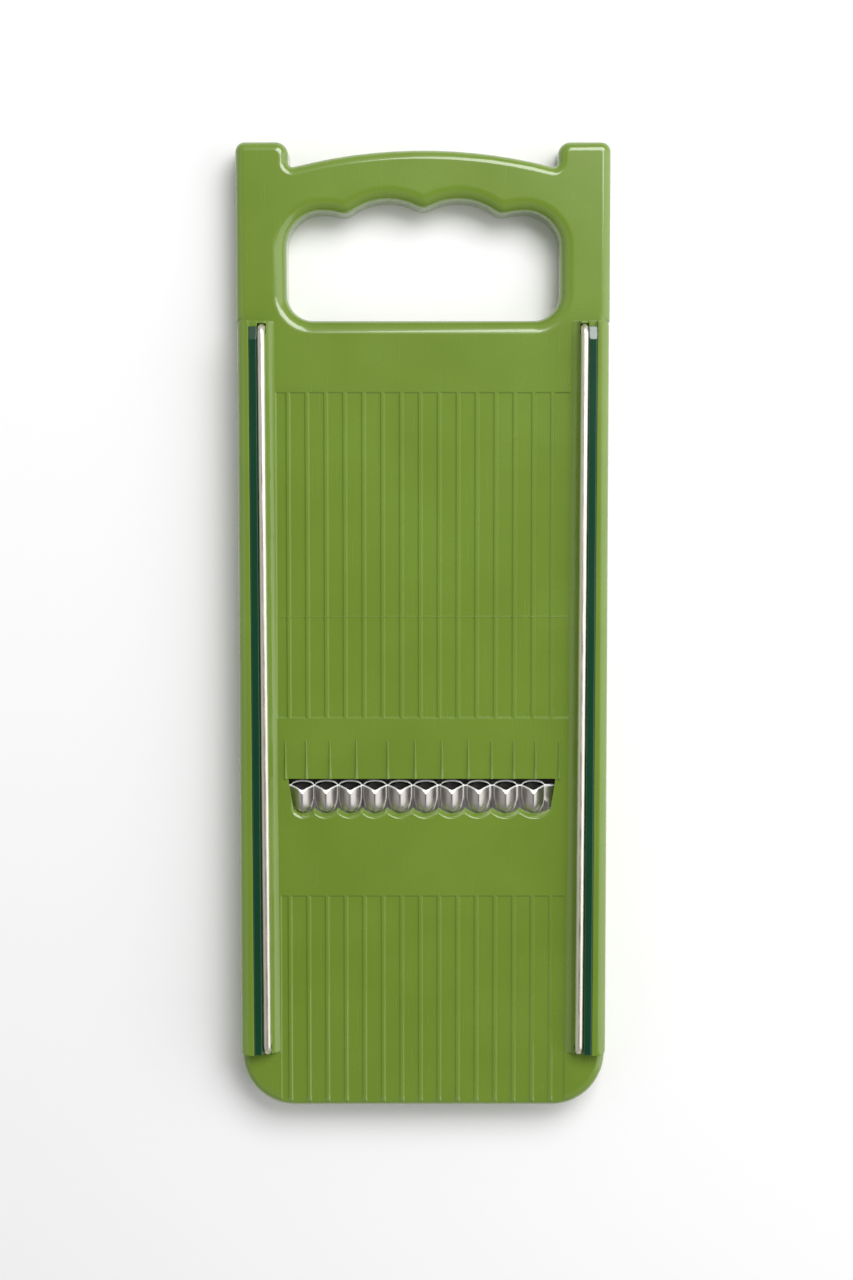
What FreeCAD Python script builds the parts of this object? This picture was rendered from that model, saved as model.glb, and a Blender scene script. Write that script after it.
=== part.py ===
import FreeCAD, Part
import math
import os
import Sketcher

from FreeCAD import Placement, Rotation, Vector

# A mandoline slicer lying flat. Origin: centre of the box that holds it, at the surface it rests on.
# +X is across the board, +Y runs towards the handle and +Z is up. Millimetres and degrees.

SIZES = {
    # outline of the board
    "overall_length": 310.0,
    "head_width": 119.0,
    "deck_width": 117.8,
    "shoulder_place": 98.5,
    "foot_corner_radius": 17.3,
    "ear_inner_place": 42.8,
    "ear_outer_radius": 3.0,
    "ear_inner_radius": 3.9,
    "notch_place": 146.8,
    "notch_radius": 1.5,
    "grip_crown": 5.6,
    # heights and walls
    "deck_height": 15.0,
    "deck_wall": 2.6,
    "skirt_wall": 2.4,
    "edge_radius": 2.9,
    # hand hole
    "hole_width": 86.8,
    "hole_foot_place": 98.9,
    "hole_foot_radius": 8.3,
    "hole_side_top": 121.0,
    "hole_shoulder_place": 33.0,
    "hole_shoulder_top": 133.2,
    "hole_shoulder_bulge": 3.3,
    "outer_cusp_place": 24.3,
    "outer_cusp_top": 131.8,
    "outer_finger_bulge": 0.4,
    "middle_cusp_top": 133.3,
    "finger_bulge": 4.2,
    "cusp_radius": 5.0,
    "hole_edge_radius": 4.4,
    # rails
    "rail_height": 5.0,
    "rail_foot_place": -137.1,
    "rail_root": 10.0,
    "rail_land": 3.75,
    "inlay_width": 2.7,
    "inlay_depth": 1.3,
    "wire_diameter": 2.5,
    "wire_stand": 0.75,
    "rail_ledge_lip": 0.25,
    "rail_wall_slope": 0.5,
    "cove_height": 2.4,
    "cove_width": 2.5,
    "cove_drift": 1.2,
    "inlay_drift": 0.7,
    "wire_drift": 0.95,
    "inlay_proud": 0.1,
    "inlay_head_inset": 1.8,
    "inlay_foot_inset": 0.3,
    "rail_corner_radius": 2.0,
    "inlay_ramp": 4.0,
    "inlay_ramp_rise": 0.3,
    "inlay_edge_radius": 0.4,
    "wire_head_inset": 0.9,
    "wire_foot_inset": 0.0,
    "wire_bend": 2.0,
    "wire_leg_foot": 15.5,
    # ribbed fields
    "rib_count": 15.0,
    "rib_pitch": 6.02,
    "rib_width": 1.6,
    "rib_shift": -0.9,
    "rib_depth": 0.4,
    "rib_slope": 45.0,
    "field_half_width": 46.6,
    "upper_field_head": 75.8,
    "upper_field_foot": -27.7,
    "lower_field_head": -86.1,
    "lower_field_half_width": 45.6,
    "witness_place": 4.6,
    "witness_width": 0.3,
    "witness_height": 0.06,
    # slot and fins
    "slot_head": -47.7,
    "slot_foot": -57.1,
    "slot_head_half": 43.0,
    "slot_foot_half": 41.5,
    "slot_shift": -0.4,
    "fin_head": -35.4,
    "fin_head_width": 0.7,
    "fin_foot_width": 1.7,
    "fin_head_height": 0.45,
    "fin_foot_height": 0.9,
    "fin_root": 0.4,
    "lobe_foot": -57.4,
    "lobe_inset": 0.8,
    "lobe_slope": 35.0,
    "brim_shift": 0.7,
    "brim_depth": 0.25,
    "brim_slope": 70.0,
    "lobe_bulge": 1.9,
    "lobe_depth": 1.4,
    "lobe_overlap": 3.0,
    # teeth
    "tooth_count": 10.0,
    "tooth_pitch": 8.27,
    "tooth_row_middle": -1.7,
    "tooth_row_bow": 1.6,
    "tooth_radius": 3.5,
    "tooth_straight": 0.3,
    "tooth_mouth": -49.8,
    "tooth_end": -58.7,
    "tooth_lean": 25.0,
    "strip_gauge": 0.6,
    "blade_seat": 1.0,
    "strip_length": 94.0,
    "strip_head": -45.6,
    "strip_foot": -66.0,
    "lip_length": 3.6,
    "trough_flatness": 0.6,
    # clamp bar and screws
    "bar_top": 12.0,
    "bar_ridge_head": -61.5,
    "bar_corner_radius": 2.0,
    "bar_length": 111.0,
    "bar_head": -44.0,
    "bar_foot": -70.0,
    "bar_height": 3.2,
    "bar_window_half": 43.4,
    "bar_window_foot": -60.5,
    "bar_window_head": -47.0,
    "screw_place": 51.4,
    "screw_head_place": -48.6,
    "screw_foot_place": -65.4,
    "screw_diameter": 3.0,
    "screw_head_diameter": 5.6,
    "screw_head_height": 1.9,
    "screw_reach": 4.0,
    "screw_recess": 1.1,
    "screw_clearance": 0.4,
    "screw_slot_width": 0.8,
    # stiffening ribs under the deck and in the head
    "web_thickness": 1.8,
    "web_foot": 5.0,
    "fit_gap": 0.05,
    "seat_gap": 0.12,
    "skim": 0.1,
    "bite": 0.5,
}

# Where the twelve fins stand: they are unevenly spaced.
FIN_PLACES = (-44.3, -37.6, -30.0, -21.5, -11.4, -2.6, 6.0, 14.5, 22.0, 29.1, 36.1, 43.7)
# Where the stiffening webs stand: across the deck's hollow, and along the grip's.
CROSS_WEB_PLACES = (52.0, 4.0, -26.0, -84.0, -120.0)
GRIP_WEB_PLACES = (-20.0, 20.0)

doc = FreeCAD.newDocument("mandoline_slicer")
sheet = doc.addObject("Spreadsheet::Sheet", "Sizes")


def fill_sheet():
    """Write each driving dimension into the sheet, with its alias beside it."""
    for row, (name, value) in enumerate(SIZES.items(), start=1):
        sheet.set(f"A{row}", name)
        sheet.set(f"B{row}", str(value))
        sheet.setAlias(f"B{row}", name)
    doc.recompute()


class Size:
    """A number that remembers the sheet expression it comes from."""

    def __init__(self, value, text):
        self.value = float(value)
        self.text = text

    def combined(self, other, sign, value):
        return Size(value, f"({self.text} {sign} {as_size(other).text})")

    def __add__(self, other):
        return self.combined(other, "+", self.value + as_size(other).value)

    def __sub__(self, other):
        return self.combined(other, "-", self.value - as_size(other).value)

    def __mul__(self, other):
        return self.combined(other, "*", self.value * as_size(other).value)

    def __truediv__(self, other):
        return self.combined(other, "/", self.value / as_size(other).value)

    def __neg__(self):
        return Size(-self.value, f"(-1 * {self.text})")


def as_size(number):
    return number if isinstance(number, Size) else Size(number, f"{float(number):.6g}")


def size(name):
    """The sheet's value with this alias."""
    return Size(sheet.get(name), f"Sizes.{name}")


def new_body(name):
    body = doc.addObject("PartDesign::Body", name)
    body.Label = name
    return body


def origin_plane(body, role):
    return next(item for item in body.Origin.OriginFeatures if item.Role == role)


def new_sketch(body, name, role="XY_Plane", offset=0.0):
    """A sketch on one of the body's origin planes, moved along the plane's normal by offset."""
    sketch = body.newObject("Sketcher::SketchObject", name)
    sketch.AttachmentSupport = (origin_plane(body, role), [""])
    sketch.MapMode = "FlatFace"
    offset = as_size(offset)
    sketch.AttachmentOffset = Placement(Vector(0, 0, offset.value), Rotation())
    sketch.setExpression("AttachmentOffset.Base.z", offset.text)
    return sketch


def constrain(sketch, wanted):
    """Add the (constraint, expression) pairs together, which is much quicker than one by one."""
    first = sketch.ConstraintCount
    sketch.addConstraint([constraint for constraint, text in wanted])
    for place, (constraint, text) in enumerate(wanted):
        if text is not None:
            sketch.setExpression(f"Constraints[{first + place}]", text)


def pinned(kind, geometry, vertex, amount):
    """A vertex's distance from the sketch's origin, held at a sheet expression."""
    return Sketcher.Constraint(kind, -1, 1, geometry, vertex, amount.value), amount.text


def arc_middle(start, end, bulge):
    """The middle of an arc: bulge is how far it stands out to the right of the chord."""
    chord = end - start
    outward = Vector(chord.y, -chord.x, 0).normalize()
    return (start + end) / 2 + outward * bulge


def draw_loop(sketch, corners):
    """Draw a closed outline, and return what holds it. A corner that an arc leaves is (x, y, bulge)."""
    corners = [tuple(as_size(number) for number in corner) for corner in corners]
    spots = [Vector(corner[0].value, corner[1].value, 0) for corner in corners]
    first = sketch.GeometryCount
    ends = []
    for place, corner in enumerate(corners):
        start, end = spots[place], spots[(place + 1) % len(spots)]
        edge = Part.LineSegment(start, end)
        if len(corner) == 3:
            edge = Part.Arc(start, arc_middle(start, end, corner[2].value), end)
        index = sketch.addGeometry(edge)
        leads = sketch.getPoint(index, 1).distanceToPoint(start) < 1e-6
        ends.append((1, 2) if leads else (2, 1))
    wanted = []
    for place, corner in enumerate(corners):
        index = first + place
        after = (place + 1) % len(corners)
        joined = Sketcher.Constraint("Coincident", index, ends[place][1], first + after, ends[after][0])
        wanted.append((joined, None))
        wanted.append(pinned("DistanceX", index, ends[place][0], corner[0]))
        wanted.append(pinned("DistanceY", index, ends[place][0], corner[1]))
        if len(corner) == 3:
            wanted.append(arc_radius(index, corner, corners[after]))
    return wanted


def arc_radius(index, start, end):
    """An arc's radius, driven by its chord and its bulge."""
    across = end[0] - start[0]
    along = end[1] - start[1]
    chord_square = across * across + along * along
    bulge = start[2]
    radius = chord_square / (bulge * 8.0) + bulge / 2.0
    if radius.value < 0:
        radius = -radius
    return Sketcher.Constraint("Radius", index, radius.value), radius.text


def draw_circle(sketch, x, y, diameter):
    """Draw a circle, and return what holds it."""
    x, y, radius = as_size(x), as_size(y), as_size(diameter) / 2
    index = sketch.addGeometry(Part.Circle(Vector(x.value, y.value, 0), Vector(0, 0, 1), radius.value))
    held = [pinned("DistanceX", index, 3, x), pinned("DistanceY", index, 3, y)]
    return held + [(Sketcher.Constraint("Radius", index, radius.value), radius.text)]


def outline_sketch(body, name, loops, offset=0.0, role="XY_Plane"):
    """A sketch that holds several closed outlines."""
    sketch = new_sketch(body, name, role, offset)
    wanted = []
    for loop in loops:
        wanted += draw_loop(sketch, loop)
    constrain(sketch, wanted)
    return sketch


def rectangle(low_x, low_y, high_x, high_y):
    return [(low_x, low_y), (high_x, low_y), (high_x, high_y), (low_x, high_y)]


def extrude(body, kind, name, sketch, length, reverse=False, slope=None):
    """A Pad or Pocket of a sketch. It must change the body's volume. slope leans its walls outwards."""
    before = body.Shape.Volume if body.Tip else 0.0
    feature = body.newObject(f"PartDesign::{kind}", name)
    feature.Profile = sketch
    feature.Reversed = reverse
    length = as_size(length)
    feature.Length = length.value
    feature.setExpression("Length", length.text)
    if slope is not None:
        feature.TaperAngle = slope.value
        feature.setExpression("TaperAngle", slope.text)
    doc.recompute()
    change = feature.Shape.Volume - before
    if (kind == "Pad") != (change > 0) or abs(change) < 1e-6:
        raise RuntimeError(f"{name} changed the volume by {change:.3f}")
    return feature


def add_block(body, name, loops, bottom, height):
    sketch = outline_sketch(body, f"{name}_sketch", loops, bottom)
    return extrude(body, "Pad", name, sketch, height)


def cut_block(body, name, loops, bottom, height, slope=None):
    """Cut the outlines out of the body, from the height bottom upwards."""
    sketch = outline_sketch(body, f"{name}_sketch", loops, bottom)
    return extrude(body, "Pocket", name, sketch, height, reverse=True, slope=slope)


def round_edges(body, name, radius, wanted):
    """Round each edge of the body's latest shape for which wanted(edge) is true."""
    base = body.Tip
    names = [f"Edge{n}" for n, edge in enumerate(base.Shape.Edges, start=1) if wanted(edge)]
    if not names:
        raise RuntimeError(f"{name} found no edge")
    before = base.Shape.Volume
    feature = body.newObject("PartDesign::Fillet", name)
    feature.Base = (base, names)
    feature.Radius = radius.value
    feature.setExpression("Radius", radius.text)
    doc.recompute()
    if abs(feature.Shape.Volume - before) < 1e-6:
        raise RuntimeError(f"{name} rounded nothing")
    return feature


def upright_at(*places):
    """True for an upright edge that stands at one of the (x, y) places, on either side of the board."""
    spots = [(abs(as_size(x).value), as_size(y).value) for x, y in places]

    def wanted(edge):
        box = edge.BoundBox
        if box.ZLength < 1.0 or max(box.XLength, box.YLength) > 0.01:
            return False
        here = box.Center
        return any(abs(abs(here.x) - x) < 0.05 and abs(here.y - y) < 0.05 for x, y in spots)

    return wanted


def level_at(height, test=None):
    """True for an edge that lies level at the height and whose middle passes the test."""
    height = as_size(height).value

    def wanted(edge):
        box = edge.BoundBox
        level = box.ZLength < 0.01 and abs(box.ZMin - height) < 0.01
        return level and (test is None or test(box.Center))

    return wanted


def mirrored_loop(half, centre=None):
    """An outline from its right half, read anticlockwise. The left half is mirrored, arcs included.

    centre is a corner on the middle line, between the last corner and its mirror image.
    """
    corners = [tuple(as_size(number) for number in corner) for corner in half]
    middle = []
    if centre is not None:
        middle.append(centre + tuple(corners[-1][2:]))
    left = []
    for place in range(len(corners) - 1, -1, -1):
        corner = corners[place]
        bulge = corners[place - 1][2:] if place else ()
        left.append((-corner[0], corner[1]) + tuple(bulge))
    return corners + middle + left


def head_outline():
    """The whole board from above: square foot corners, side shoulders, ears and the crowned grip."""
    half_head = size("head_width") / 2
    half_deck = size("deck_width") / 2
    tip = size("overall_length") / 2
    shoulder = size("shoulder_place")
    ear = size("ear_inner_place")
    return mirrored_loop([
        (half_deck, -tip),
        (half_deck, shoulder),
        (half_head, shoulder),
        (half_head, tip),
        (ear, tip),
        (ear, size("notch_place"), size("grip_crown")),
    ])


def hand_hole_outline():
    """The hand hole, with four finger scallops along the grip."""
    half = size("hole_width") / 2
    return mirrored_loop(
        [
            (half, size("hole_foot_place")),
            (half, size("hole_side_top"), size("hole_shoulder_bulge")),
            (size("hole_shoulder_place"), size("hole_shoulder_top"), size("outer_finger_bulge")),
            (size("outer_cusp_place"), size("outer_cusp_top"), size("finger_bulge")),
        ],
        centre=(0.0, size("middle_cusp_top")),
    )


def head_cavity_outline():
    """The hollow under the head: two legs beside the hand hole and a channel along the grip."""
    wall = size("skirt_wall")
    outer = size("head_width") / 2 - wall
    inner = size("hole_width") / 2 + wall
    tip = size("overall_length") / 2 - wall
    ear = size("ear_inner_place") + wall
    foot = size("hole_foot_place")
    shoulder = size("hole_shoulder_place")
    ring_top = size("hole_shoulder_top") + wall
    ring_crown = size("middle_cusp_top") + wall + size("finger_bulge")
    right = [
        (inner, foot),
        (outer, foot),
        (outer, tip),
        (ear, tip),
        (ear, size("notch_place") - wall, size("grip_crown")),
    ]
    left = [(-x, *rest) for x, *rest in reversed(right)]
    left = [(-ear, size("notch_place") - wall)] + left[1:]
    ring = [
        (-inner, size("hole_side_top"), -size("hole_shoulder_bulge")),
        (-shoulder, ring_top),
        (-shoulder / 2, ring_crown),
        (shoulder / 2, ring_crown),
        (shoulder, ring_top, -size("hole_shoulder_bulge")),
        (inner, size("hole_side_top")),
    ]
    return right + left + ring


def rail_section(drift):
    """Half-section of the right rail: (distance from the middle, height) corners, outer face first.

    drift is 0 at the rail's head and 1 at its foot: the inlay and the wire run slightly inwards.
    """
    deck = size("deck_height")
    top = deck + size("rail_height")
    outer = size("deck_width") / 2
    inlay_outer = outer - size("rail_land") - size("inlay_drift") * drift
    inlay_inner = inlay_outer - size("inlay_width")
    groove = top - size("inlay_depth")
    ledge = top + size("wire_stand") - size("wire_diameter") - size("fit_gap")
    wire_run = (size("wire_drift") - size("inlay_drift")) * drift
    lip = inlay_inner - size("wire_diameter") + size("rail_ledge_lip") - wire_run
    cove_height = size("cove_height")
    cove_width = size("cove_width") + size("cove_drift") * drift
    wall = lip - size("rail_wall_slope")
    bulge = (cove_height + cove_width) * ((1 - math.sqrt(0.5)) / 2)
    return [
        (outer, size("rail_root")),
        (outer, top),
        (inlay_outer, top),
        (inlay_outer, groove),
        (inlay_inner, groove),
        (inlay_inner, ledge),
        (lip, ledge),
        (wall, deck + cove_height, -bulge),
        (wall - cove_width, deck),
        (wall - cove_width, size("rail_root")),
    ]


def add_rail(body, side):
    """Loft a rail between its section at the shoulder and its section at the foot."""
    name = "right_rail" if side > 0 else "left_rail"
    sketches = []
    for end, place, drift in (("head", "shoulder_place", 0), ("foot", "rail_foot_place", 1)):
        # The XZ plane's normal points towards -Y.
        corners = rail_section(drift)
        if side < 0:
            mirrored = [(-corner[0], *corner[1:]) for corner in corners]
            corners = shift_bulges(mirrored[::-1])
        sketch_name = f"{name}_{end}_section"
        sketches.append(outline_sketch(body, sketch_name, [corners], -size(place), "XZ_Plane"))
    loft = body.newObject("PartDesign::AdditiveLoft", name)
    loft.Profile = sketches[0]
    loft.Sections = [sketches[1]]
    loft.Ruled = True
    doc.recompute()


def shift_bulges(corners):
    """After an outline is reversed, an arc leaves the corner that it used to reach."""
    spots = [corner[:2] for corner in corners]
    bulges = [corner[2:] for corner in corners]
    return [spot + bulges[(place + 1) % len(spots)] for place, spot in enumerate(spots)]


def rib_places():
    """The middles of the ribs across the deck."""
    count = round(size("rib_count").value)
    first = (1 - count) / 2
    return [size("rib_shift") + size("rib_pitch") * (first + place) for place in range(count)]


def panel_loops(half_width, foot, head):
    """The recessed panels between the ribs, with one more beyond each outermost rib."""
    half_rib = size("rib_width") / 2
    ribs = rib_places()
    edges = [-half_width]
    for rib in ribs:
        edges += [rib - half_rib, rib + half_rib]
    edges.append(half_width)
    return [rectangle(edges[n], foot, edges[n + 1], head) for n in range(0, len(edges), 2)]


def tooth_places():
    """The middles of the teeth: the row is a little tighter at its left end."""
    count = round(size("tooth_count").value)
    last = (count - 1) / 2
    places = []
    for tooth in range(count):
        step = tooth - last
        bow = size("tooth_row_bow") * (1 - (step / last) ** 2)
        places.append(size("tooth_row_middle") + size("tooth_pitch") * step - bow)
    return places


def scalloped_foot(foot, half):
    """The slot's rear edge from left to right: one arc round each tooth's end, the last corner left out."""
    teeth = tooth_places()
    cusps = [size("slot_shift") - half]
    cusps += [(teeth[n] + teeth[n + 1]) / 2 for n in range(len(teeth) - 1)]
    return [(cusp, foot, size("lobe_bulge")) for cusp in cusps]


def slot_outline():
    """The slot is widest at its head and scalloped at its foot."""
    head, foot = size("slot_head"), size("slot_foot")
    middle = size("slot_shift")
    wide, narrow = size("slot_head_half"), size("slot_foot_half")
    corners = [(middle + narrow, foot), (middle + wide, head), (middle - wide, head)]
    return scalloped_foot(foot, narrow) + corners


def lobe_outline(shift):
    """The shallow recess behind the teeth, with one lobe for each tooth, made wider by the shift."""
    half = size("slot_foot_half") - size("lobe_inset") + shift
    right = size("slot_shift") + half
    left = size("slot_shift") - half
    foot = size("lobe_foot") - shift
    head = size("lobe_foot") + size("lobe_overlap")
    return scalloped_foot(foot, half) + [(right, foot), (right, head), (left, head)]


def fin_section(place, width, height):
    """A fin's three-cornered section in the XZ plane, rooted a little below the deck."""
    root = size("deck_height") - size("fin_root")
    half = width / 2
    middle = as_size(place)
    return [(middle - half, root), (middle + half, root), (middle, size("deck_height") + height)]


def add_fin(body, name, place):
    """A ridge that grows from its head towards the slot."""
    ends = (
        ("foot", size("slot_head"), size("fin_foot_width"), size("fin_foot_height")),
        ("head", size("fin_head"), size("fin_head_width"), size("fin_head_height")),
    )
    sketches = []
    for end, along, width, height in ends:
        # The XZ plane's normal points towards -Y.
        section = fin_section(place, width, height)
        sketches.append(outline_sketch(body, f"{name}_{end}", [section], -along, "XZ_Plane"))
    loft = body.newObject("PartDesign::AdditiveLoft", name)
    loft.Profile = sketches[0]
    loft.Sections = [sketches[1]]
    loft.Ruled = True
    doc.recompute()


def add_outer_form(body):
    """The solid block of the board: outline, hand hole and their rounded edges."""
    deck = size("deck_height")
    half_head = size("head_width") / 2
    half_deck = size("deck_width") / 2
    tip = size("overall_length") / 2
    ear = size("ear_inner_place")
    add_block(body, "outline", [head_outline()], 0.0, deck)
    round_edges(body, "foot_corners", size("foot_corner_radius"), upright_at((half_deck, -tip)))
    round_edges(body, "ear_outer_corners", size("ear_outer_radius"), upright_at((half_head, tip)))
    round_edges(body, "ear_inner_corners", size("ear_inner_radius"), upright_at((ear, tip)))
    round_edges(body, "notches", size("notch_radius"), upright_at((ear, size("notch_place"))))
    cut_block(body, "hand_hole", [hand_hole_outline()], 0.0, deck)
    hole_corner = (size("hole_width") / 2, size("hole_foot_place"))
    round_edges(body, "hole_foot_corners", size("hole_foot_radius"), upright_at(hole_corner))
    cusps = upright_at((size("outer_cusp_place"), size("outer_cusp_top")), (0.0, size("middle_cusp_top")))
    round_edges(body, "finger_cusps", size("cusp_radius"), cusps)


def near_hand_hole(centre):
    """True for an edge middle that belongs to the hand hole's rim."""
    reach = size("hole_width").value / 2 + 0.1
    foot, head = size("hole_foot_place").value, size("middle_cusp_top").value
    return abs(centre.x) < reach and foot - 0.1 < centre.y < head + size("finger_bulge").value + 1.0


def add_rails(body):
    """Both rails, with their outer top edges well rounded and their ends lightly rounded."""
    for side in (-1, 1):
        add_rail(body, side)
    half_deck = size("deck_width").value / 2
    top = size("deck_height").value + size("rail_height").value

    def outer_top(edge):
        box = edge.BoundBox
        return abs(box.ZMin - top) < 0.01 and abs(abs(box.Center.x) - half_deck) < 0.01 and box.YLength > 50

    round_edges(body, "rail_outer_edges", size("edge_radius"), outer_top)


def round_rail_corners(body):
    """Cut the corners of both rails' ends round, seen from above."""
    radius = size("rail_corner_radius")
    bulge = radius * (1 - math.sqrt(0.5))
    outer = size("deck_width") / 2
    beyond = size("head_width") / 2 - outer + size("skim")
    scraps = []
    for along, inwards in ((size("shoulder_place"), -1), (size("rail_foot_place"), 1)):
        for side in (-1, 1):
            edge = outer * side
            corner = [
                (edge, along + radius * inwards),
                (edge + beyond * side, along + radius * inwards),
                (edge + beyond * side, along - beyond * inwards),
                (edge - radius * side, along - beyond * inwards),
                (edge - radius * side, along, bulge * side * inwards),
            ]
            scraps.append(corner)
    deck = size("deck_height")
    cut_block(body, "rail_end_corners", scraps, deck, size("rail_height") + size("skim"))


def add_hollows(body):
    """Hollow the board from below, and leave stiffening webs."""
    wall = size("skirt_wall")
    roof = size("deck_height") - size("deck_wall")
    half_deck = size("deck_width") / 2 - wall
    tip = size("overall_length") / 2 - wall
    deck_top = size("hole_foot_place") - wall
    corner = size("foot_corner_radius") - wall
    hollow = mirrored_loop([
        (half_deck - corner, -tip, corner * (1 - math.sqrt(0.5))),
        (half_deck, corner - tip),
        (half_deck, deck_top),
    ])
    cut_block(body, "deck_hollow", [hollow], 0.0, roof)
    cut_block(body, "head_hollow", [head_cavity_outline()], 0.0, roof)
    add_webs(body)


def add_webs(body):
    half = size("web_thickness") / 2
    foot = size("web_foot")
    rise = size("deck_height") - size("deck_wall") - foot + size("bite")
    overlap = size("skirt_wall") / 2
    half_deck = size("deck_width") / 2 - overlap
    for number, place in enumerate(CROSS_WEB_PLACES, start=1):
        web = rectangle(-half_deck, half * -1 + place, half_deck, half + place)
        add_block(body, f"cross_web_{number}", [web], foot, rise)
    for number, place in enumerate(GRIP_WEB_PLACES, start=1):
        low = size("middle_cusp_top") + size("finger_bulge") + size("bite")
        high = size("notch_place") + overlap
        web = rectangle(half * -1 + place, low, half + place, high)
        add_block(body, f"grip_web_{number}", [web], foot, rise)


def add_fields(body):
    """The two ribbed fields: shallow panels are sunk between narrow ribs."""
    floor = size("deck_height") - size("rib_depth")
    upper = panel_loops(size("field_half_width"), size("upper_field_foot"), size("upper_field_head"))
    tip = size("overall_length") / 2
    lower = panel_loops(size("lower_field_half_width"), -tip - size("bite"), size("lower_field_head"))
    depth = size("rib_depth") + size("skim")
    cut_block(body, "upper_field", upper, floor, depth, slope=size("rib_slope"))
    cut_block(body, "lower_field", lower, floor, depth, slope=size("rib_slope"))
    add_witness_line(body, floor)


def add_witness_line(body, floor):
    """A hair-thin raised line across the deck, where two parts of the mould meet."""
    half = size("witness_width") / 2
    low, high = size("witness_place") - half, size("witness_place") + half
    height = size("witness_height")
    reach = size("field_half_width")
    root = size("skim")
    line = rectangle(-reach, low, reach, high)
    add_block(body, "witness_in_panels", [line], floor - root, height + root)
    ribs = [(rib - size("rib_width") / 2, rib + size("rib_width") / 2) for rib in rib_places()]
    loops = [rectangle(left, low, right, high) for left, right in ribs]
    add_block(body, "witness_on_ribs", loops, size("deck_height") - root, height + root)


def add_slot(body):
    """The slot for the teeth, its scalloped recess, the seat below and the fins in front."""
    deck = size("deck_height")
    cut_block(body, "slot", [slot_outline()], size("web_foot"), deck)
    lobe_floor = deck - size("lobe_depth")
    depth = size("lobe_depth") + size("skim")
    cut_block(body, "slot_lobes", [lobe_outline(0)], lobe_floor, depth, slope=size("lobe_slope"))
    brim = size("brim_depth")
    outline = lobe_outline(size("brim_shift"))
    cut_block(body, "slot_brim", [outline], deck - brim, brim + size("skim"), slope=size("brim_slope"))
    gap = size("fit_gap")
    half = size("strip_length") / 2 + gap
    seat = rectangle(-half, size("strip_foot") - gap, half, size("strip_head") + gap)
    roof = deck - size("deck_wall")
    cut_block(body, "blade_seat", [seat], roof - size("bite"), size("blade_seat") + size("bite"))
    for number, place in enumerate(FIN_PLACES, start=1):
        add_fin(body, f"fin_{number}", place)


def add_wire_seats(body):
    """A small pit at each end of each rail, for the wire's bent-down end."""
    radius = size("wire_diameter") / 2
    gap = size("fit_gap")
    half = radius + size("seat_gap")
    run = size("shoulder_place") - size("rail_foot_place")
    inset = size("rail_land") + size("inlay_width") + radius + gap
    head = -size("wire_head_inset") - radius
    foot = size("wire_foot_inset") + radius - run
    seats = []
    for along, inwards in ((head, -1), (foot, 1)):
        x = size("deck_width") / 2 - inset + size("wire_drift") * along / run
        leg = size("shoulder_place") + along
        ends = (leg - half * inwards, leg + size("wire_bend") * inwards)
        low, high = ends if inwards > 0 else reversed(ends)
        seats += [rectangle(x * side - half, low, x * side + half, high) for side in (-1, 1)]
    floor = size("wire_leg_foot") - gap
    top = size("deck_height") + size("rail_height")
    cut_block(body, "wire_seats", seats, floor, top - floor)


def add_screw_holes(body):
    sketch = new_sketch(body, "screw_holes_sketch", offset=size("rail_root"))
    wanted = []
    for x, y in screw_places():
        wanted += draw_circle(sketch, x, y, size("screw_diameter") + size("fit_gap") * 2)
    constrain(sketch, wanted)
    reach = size("deck_height") - size("deck_wall") + size("screw_reach") - size("rail_root")
    extrude(body, "Pocket", "screw_holes", sketch, reach, reverse=True)


def screw_places():
    x = size("screw_place")
    rows = (size("screw_head_place"), size("screw_foot_place"))
    return [(x * side, y) for side in (-1, 1) for y in rows]


def make_board():
    """The green moulding: handle head, deck, skirts, rails, ribs, fins and the slot."""
    body = new_body("board")
    deck = size("deck_height")
    add_outer_form(body)
    round_edges(body, "hole_edge", size("hole_edge_radius"), level_at(deck, near_hand_hole))
    outer_edge = level_at(deck, lambda centre: not near_hand_hole(centre) and abs(centre.x) < 70)
    round_edges(body, "outer_edge", size("edge_radius"), outer_edge)
    add_rails(body)
    round_rail_corners(body)
    add_hollows(body)
    add_fields(body)
    add_slot(body)
    add_wire_seats(body)
    add_screw_holes(body)
    return body


def rail_yaw(drift):
    """How far a strip turns over the rail's length, in degrees, to run inwards by drift."""
    run = size("shoulder_place").value - size("rail_foot_place").value
    return math.degrees(math.atan2(drift.value, run))


def place_in_rail(body, side, inset_at_head, drift):
    """Lay a body that runs along its own -Y on a rail, starting at the shoulder."""
    x = size("deck_width").value / 2 - inset_at_head.value
    base = Vector(side * x, size("shoulder_place").value, 0)
    body.Placement = Placement(base, Rotation(Vector(0, 0, 1), -side * rail_yaw(drift)))
    away = size("deck_width") / 2 - inset_at_head
    body.setExpression("Placement.Base.x", (away * side).text)
    body.setExpression("Placement.Base.y", "Sizes.shoulder_place")


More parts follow.
